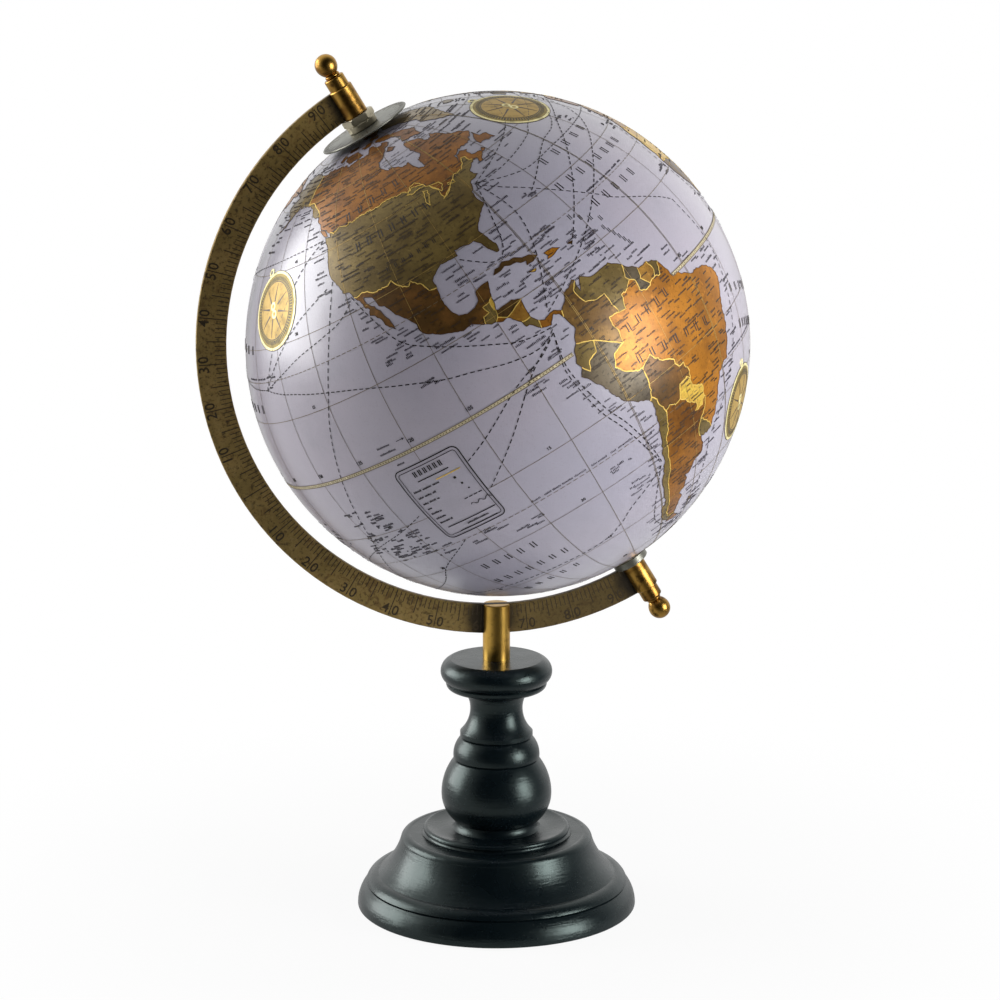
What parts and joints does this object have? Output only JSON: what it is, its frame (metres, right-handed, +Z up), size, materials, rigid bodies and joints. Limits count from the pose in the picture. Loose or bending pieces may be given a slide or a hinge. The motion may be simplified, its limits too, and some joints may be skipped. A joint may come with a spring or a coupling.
{
  "type": "desktop globe on stand",
  "caption": "Desktop globe: printed ball spinning on a tilted axle in a flat brass meridian arm, with an hour dial at the pole, on a turned black stand.",
  "frame": {"origin": "middle of the underside, on the table", "axes": "+Z up; the meridian arm lies in the XZ plane and bends round the ball on the -X side; the north end of the axle leans towards -X"},
  "size_m": [0.2231, 0.2032, 0.3553],
  "materials": {
    "black_paint": "turned wood under black satin paint, brushed",
    "felt": "felt",
    "steel": "bright zinc",
    "polished_brass": "polished, lightly stained",
    "aged_brass": "dark antique patina, engraved",
    "nickel": "nickel plate",
    "nylon": "plain",
    "printed_ball": "printed map under satin lacquer",
    "board": "plain pressed board"
  },
  "bodies": {
    "stand": {"felt_pad": "felt", "foot": "black_paint", "pillar": "black_paint", "tie_rod": "steel", "base_washer": "steel", "base_nut": "steel", "stem_post": "polished_brass", "meridian_arm": "aged_brass", "north_tube": "polished_brass", "south_tube": "polished_brass", "axle": "steel", "north_finial": "polished_brass", "south_finial": "polished_brass", "north_nut": "nickel", "north_collar": "nickel", "south_collar": "nickel", "thrust_washer": "nylon"},
    "globe": {"hemisphere_north": "printed_ball", "hemisphere_south": "printed_ball", "lap_ring": "board", "core_tube": "board", "north_bush": "nickel", "south_bush": "nickel"},
    "dial": {"hour_dial": "nickel"}
  },
  "joints": [
    {"name": "globe_spin", "type": "hinge", "parent": "stand", "child": "globe", "pos_m": [0, 0, 0.2381], "axis": [-0.515, 0, 0.8572], "continuous": true},
    {"name": "dial_turn", "type": "hinge", "parent": "stand", "child": "dial", "pos_m": [0, 0, 0.2381], "axis": [-0.515, 0, 0.8572], "continuous": true}
  ]
}
